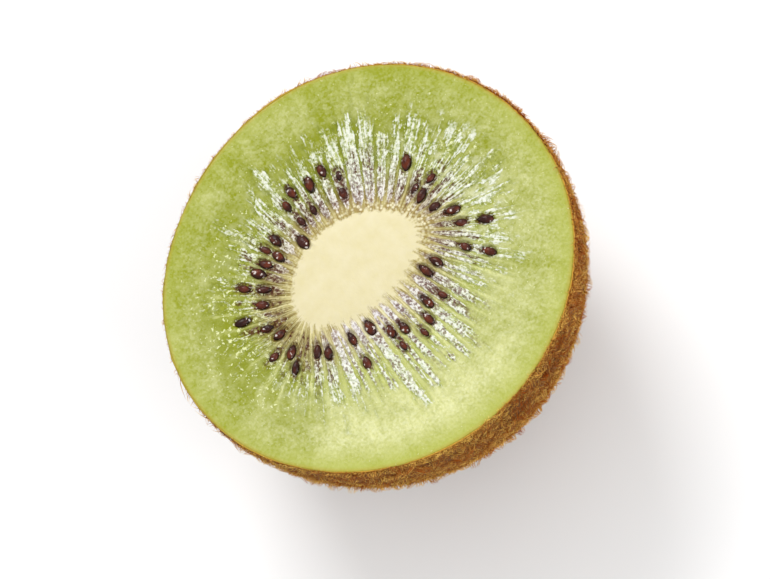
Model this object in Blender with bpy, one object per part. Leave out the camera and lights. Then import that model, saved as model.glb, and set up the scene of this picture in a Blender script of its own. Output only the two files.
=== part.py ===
"""Half of a green kiwi fruit, cut across its middle.

It stands on its stem scar with the cut face up. The fruit's own axis is +Z, and the longer
diameter of the cut face lies along X. The flesh, core and skin are one grown piece, so the
half is one solid: a lofted stack of rings that runs from the middle of the core, over the rays
and the rim, and down round the skin to the scar.
"""

import math

import bmesh
import bpy
from mathutils import Vector

MM = 0.001

# The whole fruit.
CUT_HEIGHT = 30.0 * MM  # from the stem scar's face up to the cut
RIM_RADIUS = 23.5 * MM  # mean radius of the rim, the skin included
RIM_WAVES = ((2, 0.67 * MM, 2), (3, 0.16 * MM, 49), (4, 0.08 * MM, -17))
BLUNTNESS = 2.2  # 2 would be an ellipsoid; more gives a blunter end
RIM_ROUNDING = 0.5 * MM

# The pale core, as the distance of its edge's tangent from the fruit's axis in each direction.
CORE_REACH = 6.75 * MM
CORE_WAVES = ((1, 1.7 * MM, 126), (2, 1.5 * MM, -3), (3, 0.2 * MM, -29))
CORE_CROWN = 0.3 * MM  # how far the firm core stands proud of the cut

# The rays between the seed chambers. They leave the core square to its edge.
RAYS = 48
COLUMNS_PER_RAY = 3
TROUGH = 0.45 * MM  # how far the soft seed ring sinks below the cut
RAY_RIDGE = 0.3 * MM
RAY_START, RAY_FULL, RAY_FADE, RAY_END = 0.0, 0.10, 0.36, 0.62  # shares of core edge to rim

# The stem scar, a hard flat button in a shallow collar.
SCAR_RADIUS = 4.6 * MM
SCAR_BEVEL = 0.35 * MM
COLLAR_RADIUS = 6.2 * MM
COLLAR_HEIGHT = 0.75 * MM

# How finely each stretch is divided.
CORE_RINGS = (0.35, 0.7, 0.9)
FLESH_RINGS = (0.0, 0.06, 0.14, 0.23, 0.33, 0.43, 0.53, 0.65, 0.8, 0.93)
ROUNDING_STEPS = 3
SKIN_RINGS = 11


def waves(angle, terms):
    """The sum of size * cos(count * (angle - turn)) over (count, size, turn in degrees)."""
    return sum(
        size * math.cos(count * (angle - math.radians(turn)))
        for count, size, turn in terms
    )


def smooth_step(low, high, value):
    share = min(max((value - low) / (high - low), 0.0), 1.0)
    return share * share * (3 - 2 * share)


def direction(angle):
    return Vector((math.cos(angle), math.sin(angle), 0))


def core_edge(angle):
    """The point of the core's edge whose outward direction is angle."""
    reach = CORE_REACH + waves(angle, CORE_WAVES)
    slope = sum(
        -count * size * math.sin(count * (angle - math.radians(turn)))
        for count, size, turn in CORE_WAVES
    )
    return reach * direction(angle) + slope * direction(angle + math.pi / 2)


def rim_radius(angle, waviness=1.0):
    return RIM_RADIUS + waviness * waves(angle, RIM_WAVES)


def ray_angles():
    """The columns' directions, spaced so that all rays are equally wide where the seeds lie."""
    steps = 720
    seed_share = 0.3
    turns = [2 * math.pi * i / steps for i in range(steps + 1)]
    walk = [0.0]
    middle = [
        core_edge(turn).lerp(rim_radius(turn) * direction(turn), seed_share)
        for turn in turns
    ]
    for here, there in zip(middle, middle[1:]):
        walk.append(walk[-1] + (there - here).length)
    columns = RAYS * COLUMNS_PER_RAY
    found, i = [], 0
    for column in range(columns):
        wanted = walk[-1] * column / columns
        while walk[i + 1] <= wanted:
            i += 1
        share = (wanted - walk[i]) / (walk[i + 1] - walk[i])
        found.append(turns[i] + share * (turns[i + 1] - turns[i]))
    return found


def face_height(share, ray):
    """The cut's height at a share of the way from core edge to rim, and at a ray's number."""
    sunk = TROUGH * smooth_step(-0.05, 0.2, share) * (1 - smooth_step(0.3, 0.75, share))
    shown = smooth_step(RAY_START, RAY_FULL, share) * (
        1 - smooth_step(RAY_FADE, RAY_END, share)
    )
    ridge = 0.5 + 0.5 * math.cos(2 * math.pi * ray)
    return CUT_HEIGHT - sunk + RAY_RIDGE * shown * (ridge - 0.5)


def core_rings(angles):
    """From near the axis out to the core's edge, over its low crown."""
    middle = sum((core_edge(angle) for angle in angles), Vector()) / len(angles)
    for share in CORE_RINGS:
        height = CUT_HEIGHT + CORE_CROWN * (1 - share * share)
        yield [
            middle.lerp(core_edge(angle), share) + Vector((0, 0, height))
            for angle in angles
        ]


def flesh_rings(angles):
    """Over the seed ring and the outer flesh, to where the rim starts to round."""
    for share in FLESH_RINGS:
        ring = []
        for column, angle in enumerate(angles):
            rim = (rim_radius(angle) - RIM_ROUNDING) * direction(angle)
            point = core_edge(angle).lerp(rim, share)
            point.z = face_height(share, column / COLUMNS_PER_RAY)
            ring.append(point)
        yield ring


def rim_rings(angles):
    """Round the edge of the cut, down to where the skin's own curve takes over."""
    for step in range(ROUNDING_STEPS):
        turn = math.pi / 2 * step / ROUNDING_STEPS
        inset = RIM_ROUNDING * (1 - math.sin(turn))
        drop = RIM_ROUNDING * (1 - math.cos(turn))
        yield [
            (rim_radius(angle) - inset) * direction(angle)
            + Vector((0, 0, CUT_HEIGHT - drop))
            for angle in angles
        ]


def skin_rings(angles):
    """Down the blunt half, from under the rim to the stem scar's collar."""
    top = CUT_HEIGHT - RIM_ROUNDING
    power = 2 / BLUNTNESS
    last_turn = math.acos((COLLAR_RADIUS / RIM_RADIUS) ** (1 / power))
    depth = (top - COLLAR_HEIGHT) / math.sin(last_turn) ** power
    for step in range(SKIN_RINGS + 1):
        turn = last_turn * step / SKIN_RINGS
        narrowing = math.cos(turn) ** power
        waviness = 1 - step / SKIN_RINGS
        height = top - depth * math.sin(turn) ** power
        yield [
            narrowing * rim_radius(angle, waviness) * direction(angle)
            + Vector((0, 0, height))
            for angle in angles
        ]


def scar_rings(angles):
    """In from the collar to the button's flat face, which the half stands on."""
    for radius, height in (
        (SCAR_RADIUS + SCAR_BEVEL, SCAR_BEVEL),
        (SCAR_RADIUS, 0.0),
    ):
        yield [radius * direction(angle) + Vector((0, 0, height)) for angle in angles]


def loft(mesh, rings):
    """Joins each ring to the next, and closes both ends with a fan round the ring's middle."""
    loops = [[mesh.verts.new(point) for point in ring] for ring in rings]
    count = len(loops[0])
    for upper, lower in zip(loops, loops[1:]):
        for i in range(count):
            j = (i + 1) % count
            mesh.faces.new((upper[i], lower[i], lower[j], upper[j]))
    for loop, lift in ((loops[0], CORE_CROWN / 8), (loops[-1], 0.0)):
        middle = sum((vert.co for vert in loop), Vector()) / count
        centre = mesh.verts.new(middle + Vector((0, 0, lift)))
        for i in range(count):
            mesh.faces.new((centre, loop[i], loop[(i + 1) % count]))
    bmesh.ops.recalc_face_normals(mesh, faces=mesh.faces)


def centre_on_axis(mesh):
    """Puts the middle of the outline's box over the origin."""
    for axis in (0, 1):
        places = [vert.co[axis] for vert in mesh.verts]
        middle = (min(places) + max(places)) / 2
        for vert in mesh.verts:
            vert.co[axis] -= middle


def flesh_material():
    material = bpy.data.materials.new("kiwi_flesh")
    material.use_nodes = True
    shader = material.node_tree.nodes["Principled BSDF"]
    shader.inputs["Base Color"].default_value = (0.42, 0.52, 0.10, 1)
    shader.inputs["Roughness"].default_value = 0.35
    shader.inputs["Metallic"].default_value = 0.0
    return material


def kiwi_half():
    angles = ray_angles()
    mesh = bmesh.new()
    loft(
        mesh,
        [
            *core_rings(angles),
            *flesh_rings(angles),
            *rim_rings(angles),
            *skin_rings(angles),
            *scar_rings(angles),
        ],
    )
    centre_on_axis(mesh)
    data = bpy.data.meshes.new("kiwi_half")
    mesh.to_mesh(data)
    mesh.free()
    data.shade_smooth()
    data.set_sharp_from_angle(angle=math.radians(40))
    data.materials.append(flesh_material())
    half = bpy.data.objects.new("kiwi_half", data)
    bpy.context.scene.collection.objects.link(half)


for old in list(bpy.data.objects):
    bpy.data.objects.remove(old)
kiwi_half()
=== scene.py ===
"""Half of a green kiwi fruit, cut across its middle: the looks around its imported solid.

The half stands on its stem scar with the cut face up. +Z is the fruit's own axis, and the longer
diameter of the cut lies along X. Everything is in metres.
"""

import math
from types import SimpleNamespace

import bpy
import numpy as np
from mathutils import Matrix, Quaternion, Vector


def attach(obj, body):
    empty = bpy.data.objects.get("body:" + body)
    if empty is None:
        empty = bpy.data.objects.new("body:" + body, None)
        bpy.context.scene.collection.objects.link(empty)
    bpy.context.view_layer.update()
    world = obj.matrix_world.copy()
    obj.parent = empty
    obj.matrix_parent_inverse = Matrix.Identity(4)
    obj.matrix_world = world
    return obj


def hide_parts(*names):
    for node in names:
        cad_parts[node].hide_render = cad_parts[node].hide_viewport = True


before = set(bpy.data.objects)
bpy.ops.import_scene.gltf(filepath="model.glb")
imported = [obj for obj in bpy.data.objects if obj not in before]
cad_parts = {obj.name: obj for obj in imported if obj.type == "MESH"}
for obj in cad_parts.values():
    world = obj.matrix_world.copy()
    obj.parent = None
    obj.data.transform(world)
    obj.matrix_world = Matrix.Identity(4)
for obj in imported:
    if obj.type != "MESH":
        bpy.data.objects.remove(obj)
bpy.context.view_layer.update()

# ---------------------------------------------------------------------------------------------
# The flesh. One soft wet piece: a firm cream core, a sunken ring of seed chambers parted by pale
# rays, and pale green outer flesh, all cut flat by a knife. It starts as a tube of even rings,
# which is folded over into the cut face and down inside the skin.
# ---------------------------------------------------------------------------------------------
MM = 0.001
CUT_HEIGHT = 30.0 * MM
RIM_RADIUS = 23.5 * MM
RIM_WAVES = ((2, 0.67 * MM, 2), (3, 0.16 * MM, 49), (4, 0.08 * MM, -17))
BLUNTNESS = 2.2
COLLAR_RADIUS = 6.2 * MM
COLLAR_HEIGHT = 0.75 * MM
SKIN_THICKNESS = 0.15 * MM

CORE_REACH = 6.75 * MM
CORE_WAVES = ((1, 1.7 * MM, 126), (2, 1.5 * MM, -3), (3, 0.2 * MM, -29))
CORE_CROWN = 0.3 * MM

RAYS = 48
TROUGH = 0.45 * MM
RAY_RIDGE = 0.3 * MM
SEED_SHARE = 0.3  # where most seeds lie, from the core's edge at 0 to the rim at 1

FINE_STEPS = 1440  # how finely an outline is walked round
FLESH_COLUMNS = 576
CORE_RINGS = 12
CHAMBER_RINGS = 112
OUTER_RINGS = 28
EDGE_RINGS = 4
BODY_RINGS = 8
CHAMBER_SHARE = 0.68  # how far out the closely ringed stretch reaches, as a share of the flesh


def waves(angle, terms):
    """The sum of size * cos(count * (angle - turn)) over (count, size, turn in degrees)."""
    return sum(
        size * np.cos(count * (angle - math.radians(turn)))
        for count, size, turn in terms
    )


def swell(low, high, value):
    """0 below low and 1 above high, with a soft rise between."""
    share = np.clip((value - low) / (high - low), 0, 1)
    return share * share * (3 - 2 * share)


def fade(low, high, value):
    """1 below low and 0 above high, with a soft fall between."""
    return 1 - swell(low, high, value)


def heading(angle):
    return np.stack((np.cos(angle), np.sin(angle)), axis=-1)


def rim_edge(angle, inset=0.0):
    return (RIM_RADIUS + waves(angle, RIM_WAVES) - inset)[..., None] * heading(angle)


def core_edge(angle):
    """The point of the core's edge whose outward direction is angle."""
    reach = CORE_REACH + waves(angle, CORE_WAVES)
    slope = sum(
        -count * size * np.sin(count * (angle - math.radians(turn)))
        for count, size, turn in CORE_WAVES
    )
    return reach[..., None] * heading(angle) + slope[..., None] * heading(
        angle + math.pi / 2
    )


def even_turns(columns):
    """Directions spaced so that all rays are equally wide where the seeds lie."""
    turns = np.linspace(0, 2 * math.pi, FINE_STEPS + 1)
    middle = (1 - SEED_SHARE) * core_edge(turns) + SEED_SHARE * rim_edge(turns)
    steps = np.linalg.norm(np.diff(middle, axis=0), axis=1)
    walk = np.concatenate(([0], np.cumsum(steps)))
    return np.interp(np.arange(columns) / columns * walk[-1], walk, turns)


outline = rim_edge(np.linspace(0, 2 * math.pi, FINE_STEPS + 1))
FRUIT_AXIS = -(outline.min(0) + outline.max(0)) / 2


def dapple(across, along, wrap, seed):
    """Soft random values from 0 to 1 in unit cells, which come round again after wrap of them."""
    rows = 256
    cells = np.random.default_rng(seed).random((rows, wrap))
    across, along = np.broadcast_arrays(across, along)
    column, row = np.floor(across).astype(int), np.floor(along).astype(int)
    over, out = swell(0, 1, across - column), swell(0, 1, along - row)
    column, beside = column % wrap, (column + 1) % wrap
    row, beyond = row % rows, (row + 1) % rows
    near = cells[row, column] * (1 - over) + cells[row, beside] * over
    far = cells[beyond, column] * (1 - over) + cells[beyond, beside] * over
    return near * (1 - out) + far * out


def ray_dapple(around_cells, along_cells, seed):
    """Random values over the flesh, in cells that follow the rays."""
    return dapple(around * around_cells, share * along_cells, around_cells, seed)


def read_out(items, name, width, kind=np.float32):
    """One property of all of a mesh's points, corners or faces, a row for each."""
    values = np.empty(len(items) * width, kind)
    items.foreach_get(name, values)
    return values.reshape(-1, width)


def tube(name, columns, rings):
    """A tube of even rings, with the column and the ring of each of its points."""
    bpy.ops.object.select_all(action="DESELECT")
    bpy.ops.mesh.primitive_cylinder_add(
        vertices=columns,
        radius=1,
        depth=1,
        end_fill_type="NOTHING",
        location=(0, 0, 0),
    )
    piece = bpy.context.object
    piece.name = piece.data.name = name
    upright = [
        abs(piece.data.vertices[a].co.z - piece.data.vertices[b].co.z) > 0.5
        for a, b in (edge.vertices for edge in piece.data.edges)
    ]
    bpy.ops.object.mode_set(mode="EDIT")
    bpy.ops.mesh.select_mode(type="EDGE")
    bpy.ops.mesh.select_all(action="DESELECT")
    bpy.ops.object.mode_set(mode="OBJECT")
    piece.data.edges.foreach_set("select", upright)
    bpy.ops.object.mode_set(mode="EDIT")
    bpy.ops.mesh.subdivide_edgering(number_cuts=rings - 2, interpolation="LINEAR")
    bpy.ops.object.mode_set(mode="OBJECT")
    x, y, z = read_out(piece.data.vertices, "co", 3).T
    column = np.rint(np.arctan2(y, x) / (2 * math.pi) * columns).astype(int) % columns
    ring = np.rint((z + 0.5) * (rings - 1)).astype(int)
    return piece, column, ring


def fold(piece, places):
    """Moves a tube's points to their places, closes its two ends and smooths it."""
    piece.data.vertices.foreach_set("co", places.astype(np.float32).ravel())
    bpy.ops.object.select_all(action="DESELECT")
    piece.select_set(True)
    bpy.context.view_layer.objects.active = piece
    bpy.ops.object.mode_set(mode="EDIT")
    bpy.ops.mesh.select_mode(type="VERT")
    bpy.ops.mesh.select_all(action="SELECT")
    bpy.ops.mesh.remove_doubles(threshold=1e-6)
    bpy.ops.mesh.normals_make_consistent(inside=False)
    bpy.ops.object.mode_set(mode="OBJECT")
    bpy.ops.object.shade_smooth()


def note(piece, name, values):
    """Keeps a value or a vector at each point of the piece, for its material to read."""
    kind = "FLOAT" if values.ndim == 1 else "FLOAT_VECTOR"
    field = "value" if values.ndim == 1 else "vector"
    layer = piece.data.attributes.new(name, kind, "POINT")
    layer.data.foreach_set(field, values.astype(np.float32).ravel())


def body_profile(top, inset, steps):
    """Radius share and height of the rings down the blunt half, from under the rim."""
    power = 2 / BLUNTNESS
    last_turn = math.acos((COLLAR_RADIUS / RIM_RADIUS) ** (1 / power))
    turn = last_turn * np.linspace(0, 1, steps)
    depth = (top - COLLAR_HEIGHT - inset) / math.sin(last_turn) ** power
    return np.cos(turn) ** power, top - depth * np.sin(turn) ** power


flesh_turns = even_turns(FLESH_COLUMNS)
around = np.arange(FLESH_COLUMNS)[None, :] / FLESH_COLUMNS
core_share = np.linspace(0, 1, CORE_RINGS, endpoint=False)[:, None]
share = np.concatenate(
    (
        np.linspace(0, CHAMBER_SHARE, CHAMBER_RINGS, endpoint=False),
        np.linspace(CHAMBER_SHARE, 1, OUTER_RINGS),
    )
)[:, None]

flat_face = (
    core_edge(flesh_turns)[None] * (1 - share[..., None])
    + rim_edge(flesh_turns, SKIN_THICKNESS)[None] * share[..., None]
)

# The cut differs round its ring. Each side is a direction and a spread in degrees, and a strength.
# Where the wet chambers catch the light: their painted sheen and glints lie mostly on these sides.
WET_GLINT_SIDES = ((60, 43, 1.0), (115, 22, 0.5), (2, 26, 0.35), (300, 42, 0.8), (246, 30, 1.0))
LONG_SIDES = ((50, 45, 1.0), (0, 25, 0.5))  # where the chambers reach far out
CRISP_SIDES = ((60, 60, 1.0), (150, 40, 0.6))  # where the core ends in a clean edge
# Paler sides, where the light fell most: partly painted light over the flesh's own paler tone.
PALE_AND_LIT_SIDES = ((230, 20, 0.7), (262, 40, 0.9), (338, 32, 0.45), (172, 32, 0.18))
# Deeper green sides. Round 60 and 5 degrees the deeper green is painted shade.
GREEN_AND_SHADED_SIDES = ((60, 45, 0.8), (176, 55, 1.0), (5, 25, 0.4))
# Where white specks glint on the flesh: painted highlights, many on these sides.
GLINT_SPECK_SIDES = ((160, 60, 1.0), (20, 40, 0.5), (320, 40, 0.35))
LOOSE_SIDES = ((355, 42, 1.0), (200, 30, 0.4), (112, 22, 0.6))  # where chambers tear
BEADED_SIDES = ((40, 75, 1.0), (330, 45, 0.4))  # where small beads ring the core
SLIM_SIDES = ((275, 50, 1.0),)  # where the chambers are slim
MILKY_SIDES = ((253, 26, 1.0),)  # where whitish jelly reaches in to the core
MURKY_SIDES = ((318, 26, 1.0), (85, 25, 0.1))  # where many seeds lie deeper


def towards(angle, sides):
    """How much a direction belongs to some sides, from 0 to 1."""
    total = 0
    for middle, spread, strength in sides:
        away = (np.degrees(angle) - middle + 180) % 360 - 180
        total = total + strength * np.exp(-((away / spread) ** 2))
    return np.clip(total, 0, 1)[None, :]


wet_side = towards(flesh_turns, WET_GLINT_SIDES)
crisp_side = towards(flesh_turns, CRISP_SIDES)
pale_side = towards(flesh_turns, PALE_AND_LIT_SIDES)
green_and_shaded_side = towards(flesh_turns, GREEN_AND_SHADED_SIDES)
glint_speck_side = towards(flesh_turns, GLINT_SPECK_SIDES)
loose_side = towards(flesh_turns, LOOSE_SIDES)
long_side = towards(flesh_turns, LONG_SIDES)
beaded_side = towards(flesh_turns, BEADED_SIDES)
slim_side = towards(flesh_turns, SLIM_SIDES)
milky_side = towards(flesh_turns, MILKY_SIDES)
murky_side = towards(flesh_turns, MURKY_SIDES)
soft_side = 1 - crisp_side
dry_side = 1 - wet_side

# Seed chambers are tongues between thin walls. Each has its own start, end, width and wetness.
chamber_rng = np.random.default_rng(11)
chamber_start = chamber_rng.uniform(0.0, 0.06, RAYS)
chamber_end = chamber_rng.uniform(0.5, 0.7, RAYS)
chamber_width = chamber_rng.uniform(0.29, 0.43, RAYS)
chamber_wetness = chamber_rng.uniform(0.6, 1.0, RAYS)
wall_strength = chamber_rng.uniform(0.4, 1.0, RAYS)
split_rng = np.random.default_rng(12)
split_place = split_rng.uniform(-0.12, 0.12, RAYS)
split_start = np.where(split_rng.random(RAYS) < 0.6, split_rng.uniform(0.02, 0.2, RAYS), 2.0)

# The walls wander a little, and more where chambers tear.
wander = 0.8 * (dapple(around * 26, 0.0, 26, 20) - 0.5)
wander = wander + 0.2 * (ray_dapple(40, 5, 21) - 0.5)
wander = wander + 0.7 * loose_side * (ray_dapple(56, 10, 22) - 0.5) * swell(0.15, 0.5, share)
ray = around * RAYS + wander
chamber = np.floor(ray).astype(int) % RAYS
across = ray - np.floor(ray) - 0.5
to_wall = 0.5 - np.abs(across)
nearest_wall = np.where(across > 0, chamber + 1, chamber) % RAYS

lumps = ray_dapple(RAYS * 6, 44, 32)
streaks = ray_dapple(RAYS * 4, 16, 31)
patches = ray_dapple(RAYS * 3 // 2, 16, 34)
frays = ray_dapple(RAYS * 5, 12, 36)
PEBBLE_SIZE = 0.42 * MM
pebbles = dapple(*(flat_face.T / PEBBLE_SIZE), 256, 35).T
seed_end = fade(0.34, 0.52, share + 0.12 * (patches - 0.5))
seed_belt = swell(0.02, 0.12, share) * seed_end

# A chamber swells from its start, narrows outwards and ends in rags.
own_start = chamber_start[chamber] + 0.04 * soft_side
outwards = (share - own_start) / (chamber_end[chamber] + 0.1 * long_side - own_start)
taper = swell(-0.02 - 0.12 * milky_side, 0.2 - 0.1 * milky_side, outwards) ** 0.5
half_width = chamber_width[chamber] * taper * (1 - 0.25 * swell(0.6, 1.1, outwards))
half_width = half_width * (1 + 0.5 * (frays - 0.5) * swell(0.2, 0.5, share))
half_width = half_width * (1 - 0.2 * slim_side * swell(0.05, 0.25, share))
wall_gap = to_wall / (0.5 - half_width)  # 0 in the middle of a wall, 1 at a chamber's edge
split_gap = np.abs(across - split_place[chamber] - 0.06 * (frays - 0.5)) / 0.075
split_shown = swell(0.0, 0.06, share - split_start[chamber]) * swell(0.3, 0.6, slim_side)
wall_gap = np.minimum(wall_gap, split_gap + 3.0 * (1 - split_shown))
frayed = outwards + 0.45 * (frays - 0.5) + 0.3 * (patches - 0.5)
chamber_reach = fade(0.75, 1.3, frayed) * fade(0.7, 0.78, share)
inside = swell(0.85, 1.15, wall_gap) * chamber_reach

# A groove runs along both sides of each wall.
groove_start = 0.02 + 0.06 * soft_side
groove_reach = swell(groove_start, groove_start + 0.14, share) * fade(0.65, 1.1, frayed)
groove_reach = groove_reach * (1 - 0.6 * dry_side * swell(0.25, 0.5, share))
groove_reach = groove_reach * (1 - 0.7 * loose_side)
wall_reach = wall_strength[nearest_wall] * fade(0.42, 0.78, share)
walls = fade(0.15, 0.75, wall_gap) * wall_reach
wall_field = wall_reach * swell(0.0, 0.04, share) * (1 - 0.85 * wet_side * (1 - slim_side))

# The core's edge reaches into the walls in short fingers, with a verge of small beads round it.
fingers = (walls - 0.4) * (0.02 + 0.02 * soft_side) + 0.05 * (streaks - 0.5) * soft_side
past_core = share - fingers + 0.02 * (pebbles - 0.5)
core_field = fade(-0.02 - 0.02 * soft_side, 0.02 + 0.08 * soft_side, past_core)
verge_end = share + 0.1 * (streaks - 0.5)
verge_field = beaded_side * swell(-0.01, 0.02 + 0.03 * soft_side, past_core)
verge_field = verge_field * fade(0.03 + 0.02 * soft_side, 0.1 + 0.09 * soft_side, verge_end)
zone_end = share + 0.08 * (streaks - 0.5)
ring_zone = fade(0.05 + 0.07 * dry_side, 0.38 + 0.08 * dry_side, zone_end)

# What lies in the chambers, and on the flesh between and beyond them.
# The wet glint field: where the chambers are wet and carry their painted sheen of light.
wet_end = fade(0.6, 1.2, frayed + 0.3 * (patches - 0.5))
wet_start = swell(0.02 - 0.04 * milky_side, 0.12 - 0.06 * milky_side, share)
wet_glint_field = wet_side * wet_end * wet_start
wet_glint_field *= 0.5 + 0.5 * chamber_wetness[chamber] * (0.5 + 1.0 * streaks)
wet_glint_field *= 1 - 0.75 * murky_side * fade(0.1, 0.28, share)
seed_wetness = seed_belt * chamber_wetness[chamber] * (0.02 + 0.7 * frays)
wet_glint_field = np.maximum(wet_glint_field, seed_wetness * (1 - 0.6 * green_and_shaded_side))
green_and_shade_field = (
    swell(0.15 + 0.1 * dry_side, 0.35 + 0.1 * dry_side, share)
    * fade(0.52, 0.82, share + 0.2 * (patches - 0.5))
    * (1 - 0.5 * walls * dry_side)
    * (1 - 0.65 * pale_side * swell(0.35, 0.6, share))
    * (0.3 + 0.7 * green_and_shaded_side)
)
# The painted glinting specks lie thickest here.
glint_speck_field = glint_speck_side * swell(0.1, 0.35, share) * fade(0.6, 0.95, share)
glint_speck_field = 0.08 + 0.9 * glint_speck_field * (0.4 + 0.9 * patches)
# Where the painted glints gather, from near the core out along the chambers, in patches.
glint_bead_field = swell(0.03, 0.15, share) * fade(0.8, 1.2, outwards) * (0.2 + 0.8 * patches)
loose_field = swell(0.12, 0.35, share) * (0.25 + 0.75 * loose_side)
dot_end = 0.32 + 0.16 * slim_side
dot_field = wet_side * swell(0.04, 0.12, share) * (0.6 + 0.4 * slim_side)
dot_field = dot_field * (1 - 0.6 * loose_side)
dot_field = dot_field * fade(dot_end, dot_end + 0.25, share + 0.25 * (patches - 0.5))
rust_field = swell(0.0, 0.05, share) * fade(0.3, 0.42, share) * wet_side

# The seeds that show at the cut: direction in degrees, and reach as a share of the rim's.
BRIGHT_SEEDS = (
    (12, 0.42), (14, 0.51), (30, 0.535), (76, 0.56), (82, 0.54), (90, 0.57), (98, 0.54),
    (109, 0.36), (115, 0.5), (124, 0.455), (131, 0.51), (139, 0.54), (149, 0.51),
    (157, 0.635), (165, 0.54), (172, 0.5), (176, 0.59), (182, 0.52), (193, 0.56),
    (203, 0.43), (211, 0.355), (231, 0.285), (244, 0.34), (257, 0.35), (280, 0.4),
    (286, 0.34), (312, 0.28), (325, 0.335), (327, 0.59), (332, 0.475), (341, 0.6),
    (354, 0.48),
)
DULL_SEEDS = (
    (3, 0.42), (20, 0.43), (63, 0.5), (71, 0.41), (90, 0.43), (97, 0.43), (122, 0.53),
    (147, 0.61), (156, 0.53), (196, 0.445), (227, 0.46), (248, 0.43), (269, 0.43),
    (294, 0.39), (340, 0.475),
)
SEED_LENGTH = 2.0 * MM
SEED_WIDTH = 1.28 * MM
SEED_THICKNESS = 1.0 * MM


def seat(angle, reach):
    """The grid place of a seed, moved sideways into the middle of the nearest seed chamber."""
    wanted = reach * rim_edge(np.array(math.radians(angle)))
    away = np.linalg.norm(flat_face - wanted, axis=-1)
    row, column = np.unravel_index(np.argmin(away), away.shape)
    columns_per_ray = FLESH_COLUMNS // RAYS
    nearby = np.arange(column - columns_per_ray // 2, column + columns_per_ray // 2 + 1)
    nearby %= FLESH_COLUMNS
    return row, nearby[np.argmin(np.abs(across[row, nearby]))]


bright_seats = [seat(*place) for place in BRIGHT_SEEDS]
dull_seats = [seat(*place) for place in DULL_SEEDS]
near_seed = np.full(flat_face.shape[:2], 9.0)
for row, column in bright_seats + dull_seats:
    along = flat_face[row + 3, column] - flat_face[row - 3, column]
    along = along / np.linalg.norm(along)
    sideways = np.array((-along[1], along[0]))
    offset = flat_face - flat_face[row, column]
    away = np.hypot(
        offset @ along / (SEED_LENGTH / 2), offset @ sideways / (SEED_WIDTH / 2)
    )
    near_seed = np.minimum(near_seed, away)

# Chambers hold deeper seeds too, which show through as dull purple-brown patches.
deep_seeds = swell(0.4, 0.6, ray_dapple(RAYS * 2, 14, 41) + 0.2 * murky_side)
deep_belt = np.maximum(seed_belt, murky_side * swell(0.0, 0.06, share) * seed_end)
stain_field = deep_seeds * inside * deep_belt
stain_field = np.clip(stain_field + 0.9 * fade(0.95, 1.35, near_seed), 0, 1)
wet_glint_field = wet_glint_field * (0.35 + 0.65 * swell(1.0, 1.35, near_seed))

sunk = TROUGH * swell(-0.05, 0.2, share) * fade(0.3, 0.75, share)
ray_reach = swell(0, 0.1, share) * fade(0.3, 0.6, share)
grooves = fade(0.7, 1.1, wall_gap) * groove_reach
relief = (
    -sunk
    - 0.6 * RAY_RIDGE * grooves * (0.35 + 0.65 * wet_side) * swell(0, 0.1, share)
    + 0.07 * MM * walls * swell(0, 0.1, share) * fade(0.3, 0.5, share)
    + 0.15 * MM * (lumps - 0.5) * inside * (0.3 + 0.7 * ray_reach)
    + 0.06 * MM * (streaks - 0.5) * inside
    + 0.03 * MM * (pebbles - 0.5)
    - 0.22 * MM * fade(0.9, 1.25, near_seed)
    + 0.06 * MM * np.exp(-(((near_seed - 1.25) / 0.16) ** 2))
)

DIMPLE_SIZE = 0.5 * MM
DIMPLE_DEPTH = 0.012 * MM
core_middle = core_edge(flesh_turns).mean(0)
core_flat = (
    core_middle * (1 - core_share[..., None])
    + core_edge(flesh_turns)[None] * core_share[..., None]
)
core_relief = CORE_CROWN * (1 - core_share**2) + DIMPLE_DEPTH * (
    dapple(*(core_flat.T / DIMPLE_SIZE), 256, 51).T - 0.5
)

# Beyond the cut the flesh rounds over its edge and runs down inside the peel.
EDGE_ROUNDING = 0.14 * MM
SIDE_GAP = 0.03 * MM  # between the peel's inner wall and the flesh
edge_turn = np.linspace(0, math.pi / 2, EDGE_RINGS + 1)[1:, None]
edge_inset = SKIN_THICKNESS + EDGE_ROUNDING * (1 - np.sin(edge_turn))
edge_drop = EDGE_ROUNDING * (1 - np.cos(edge_turn))
edge_rows = [rim_edge(flesh_turns, float(inset)) for inset in edge_inset[:, 0]]
side_narrowing, side_height = body_profile(
    CUT_HEIGHT - EDGE_ROUNDING, SKIN_THICKNESS, BODY_RINGS
)
side_rows = [
    rim_edge(flesh_turns, SKIN_THICKNESS + SIDE_GAP) * narrowing
    for narrowing in side_narrowing[1:]
]
under_rows = [rim_edge(flesh_turns) * 0.0]


def rows_at(heights, flats):
    """Rows of points from their places over the cut and their heights."""
    flats = np.asarray(flats)
    heights = np.broadcast_to(heights, flats.shape[:2])
    return np.concatenate((flats + FRUIT_AXIS, heights[..., None]), axis=-1)


face_inset = (share[..., None] * EDGE_ROUNDING) * heading(flesh_turns)[None]
flesh_rows = np.concatenate(
    (
        rows_at(CUT_HEIGHT + core_relief, core_flat),
        rows_at(CUT_HEIGHT + relief, flat_face - face_inset),
        rows_at(CUT_HEIGHT - edge_drop, edge_rows),
        rows_at(side_height[1:, None], side_rows),
        rows_at(np.array([[side_height[-1]]]), under_rows),
    )
)
flesh, column, ring = tube("flesh", FLESH_COLUMNS, len(flesh_rows))


def over_face(field, core_value=0.0, edge_value=0.0):
    """A field of the cut carried on over the core and over the hidden rest."""
    field = np.broadcast_to(field, flat_face.shape[:2])
    core = np.broadcast_to(core_value, core_flat.shape[:2])
    rest = np.full((len(flesh_rows) - len(core) - len(field), FLESH_COLUMNS), edge_value)
    return np.concatenate((core, field, rest))[ring, column]


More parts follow.
